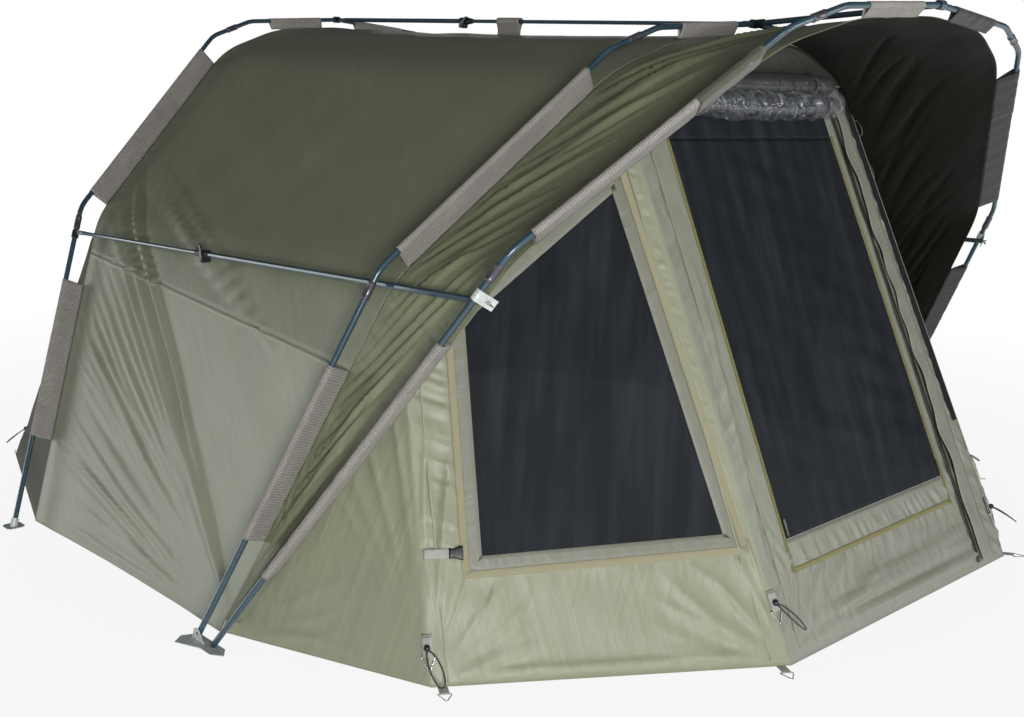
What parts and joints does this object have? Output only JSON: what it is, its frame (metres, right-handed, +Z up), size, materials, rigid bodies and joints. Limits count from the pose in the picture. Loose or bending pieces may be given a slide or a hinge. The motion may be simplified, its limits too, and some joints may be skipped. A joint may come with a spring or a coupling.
{
  "type": "bivvy_tent",
  "caption": "Single room fishing bivvy on bent tube hoops with ridge and side bars, olive canopy, mesh windows and zipped mesh door",
  "frame": {"origin": "bottom centre of the bounding box, on the ground", "axes": "+X across the tent to the right as seen by someone who faces the door, +Y to the rear wall, +Z up; the door faces -Y"},
  "size_m": [3.294, 2.982, 1.6523],
  "materials": {
    "pole": "dark teal blue powder coat, satin",
    "galvanised": "galvanised sheet, dull",
    "black_plastic": "moulded, matte",
    "roof_cloth": "coated woven nylon, dark olive",
    "flank_cloth": "coated woven nylon, grey green",
    "front_cloth": "coated woven nylon, pale sage",
    "mesh_cloth": "fine insect mesh, blue black",
    "clear_film": "clear film rolled in many layers",
    "webbing": "woven webbing",
    "steel": "bright zinc plated",
    "zip_metal": "cast zip slider, satin"
  },
  "bodies": {
    "shelter": {"rear_crown_pole": "pole", "rear_left_leg_pole": "pole", "rear_left_shoulder_pole": "pole", "rear_right_leg_pole": "pole", "rear_right_shoulder_pole": "pole", "canopy_left_wall": "flank_cloth", "left_front_panel": "front_cloth", "left_window_mesh": "mesh_cloth", "left_outer_peg_point": "webbing", "left_inner_peg_point": "webbing", "left_foot_bracket": "galvanised", "left_rear_foot": "galvanised", "left_bar_fitting": "galvanised", "canopy_right_wall": "flank_cloth", "right_front_panel": "front_cloth", "right_window_mesh": "mesh_cloth", "right_outer_peg_point": "webbing", "right_inner_peg_point": "webbing", "right_foot_bracket": "galvanised", "right_rear_foot": "galvanised", "right_bar_fitting": "galvanised", "canopy_roof": "roof_cloth", "rear_wall": "flank_cloth", "door_surround": "front_cloth", "door_roll": "roof_cloth", "clear_roll": "clear_film", "buckle_socket": "black_plastic", "ridge_rear_fitting": "galvanised"},
    "front_frame": {"middle_crown_pole": "pole", "middle_left_leg_pole": "pole", "middle_right_leg_pole": "pole", "middle_left_shoulder_pole": "pole", "middle_right_shoulder_pole": "pole", "front_crown_pole": "pole", "front_left_leg_pole": "pole", "front_right_leg_pole": "pole", "front_left_shoulder_pole": "pole", "front_right_shoulder_pole": "pole", "peak_hood": "flank_cloth", "middle_crown_fitting": "black_plastic", "ridge_front_tube": "pole", "left_clamp": "galvanised", "right_clamp": "galvanised"},
    "door": {"door_mesh": "mesh_cloth"},
    "ridge_outer": {"ridge_outer_tube": "pole", "ridge_clip": "black_plastic"},
    "ridge_inner": {"ridge_inner_tube": "pole"},
    "ridge_cam": {"ridge_lever": "black_plastic"},
    "left_zip": {"left_zip_slider": "zip_metal"},
    "left_rear_bar": {"left_bar_inner": "pole"},
    "left_front_bar": {"left_bar_outer": "pole", "left_bar_clip": "black_plastic"},
    "left_cam": {"left_bar_lever": "black_plastic"},
    "left_wing": {"left_wing_screw": "steel"},
    "right_zip": {"right_zip_slider": "zip_metal"},
    "right_rear_bar": {"right_bar_inner": "pole"},
    "right_front_bar": {"right_bar_outer": "pole", "right_bar_clip": "black_plastic"},
    "right_cam": {"right_bar_lever": "black_plastic"},
    "right_wing": {"right_wing_screw": "steel"}
  },
  "joints": [
    {"name": "front_frame_swing", "type": "hinge", "parent": "shelter", "child": "front_frame", "pos_m": [0, -0.40976, 0.017], "axis": [-1, 0, 0], "range_deg": [0, 4.5], "deforming": ["canopy_left_wall", "canopy_right_wall", "canopy_roof", "left_front_panel", "right_front_panel", "door_surround"]},
    {"name": "ridge_pivot", "type": "hinge", "parent": "shelter", "child": "ridge_outer", "pos_m": [0, 1.15284, 1.63896], "axis": [-1, 0, 0], "range_deg": [-0.3, 0.97]},
    {"name": "ridge_slide", "type": "slide", "parent": "ridge_outer", "child": "ridge_inner", "axis": [0, -0.9991, -0.0421], "range_m": [-0.1406, 0.004]},
    {"name": "left_bar_pivot", "type": "hinge", "parent": "shelter", "child": "left_rear_bar", "pos_m": [-1.24489, 0.9161, 0.87394], "axis": [-0.9984, -0.0299, 0.0488], "range_deg": [-0.3, 1.81]},
    {"name": "left_bar_slide", "type": "slide", "parent": "left_rear_bar", "child": "left_front_bar", "axis": [0.0303, -0.9995, 0.0071], "range_m": [-0.0811, 0.004]},
    {"name": "right_bar_pivot", "type": "hinge", "parent": "shelter", "child": "right_rear_bar", "pos_m": [1.24489, 0.9161, 0.87394], "axis": [-0.9984, 0.0299, -0.0488], "range_deg": [-0.3, 1.81]},
    {"name": "right_bar_slide", "type": "slide", "parent": "right_rear_bar", "child": "right_front_bar", "axis": [-0.0303, -0.9995, 0.0071], "range_m": [-0.0811, 0.004]},
    {"name": "ridge_lever_turn", "type": "hinge", "parent": "ridge_outer", "child": "ridge_cam", "pos_m": [0, 0.41752, 1.59148], "axis": [-1, 0, 0], "range_deg": [-50, 90]},
    {"name": "left_lever_turn", "type": "hinge", "parent": "left_front_bar", "child": "left_cam", "pos_m": [-1.22166, 0.1498, 0.86289], "axis": [0.9995, 0.0303, 0], "range_deg": [-88, 60]},
    {"name": "right_lever_turn", "type": "hinge", "parent": "right_front_bar", "child": "right_cam", "pos_m": [1.22166, 0.1498, 0.86289], "axis": [0.9995, -0.0303, 0], "range_deg": [-88, 60]},
    {"name": "left_wing_turn", "type": "hinge", "parent": "front_frame", "child": "left_wing", "pos_m": [-1.18875, -1.00088, 0.88655], "axis": [0.4969, 0.8283, 0.2587], "continuous": true},
    {"name": "right_wing_turn", "type": "hinge", "parent": "front_frame", "child": "right_wing", "pos_m": [1.18875, -1.00088, 0.88655], "axis": [-0.4969, 0.8283, 0.2587], "continuous": true},
    {"name": "door_hinge", "type": "hinge", "parent": "shelter", "child": "door", "pos_m": [-0.01332, -0.85759, 1.2371], "axis": [-1, 0, 0], "range_deg": [0, 80]},
    {"name": "left_zip_slide", "type": "slide", "parent": "door", "child": "left_zip", "axis": [0.0348, 0.4347, 0.8999], "range_m": [0, 0.98]},
    {"name": "right_zip_slide", "type": "slide", "parent": "door", "child": "right_zip", "axis": [0.0115, 0.435, 0.9004], "range_m": [0, 0.98]}
  ],
  "couplings": [
    {"joint": "ridge_pivot", "follows": "front_frame_swing", "ratio": 0.13423},
    {"joint": "ridge_slide", "follows": "front_frame_swing", "m_per_rad": -1.5649},
    {"joint": "left_bar_pivot", "follows": "front_frame_swing", "ratio": 0.30275},
    {"joint": "left_bar_slide", "follows": "front_frame_swing", "m_per_rad": -0.88339},
    {"joint": "right_bar_pivot", "follows": "front_frame_swing", "ratio": 0.30275},
    {"joint": "right_bar_slide", "follows": "front_frame_swing", "m_per_rad": -0.88339}
  ]
}
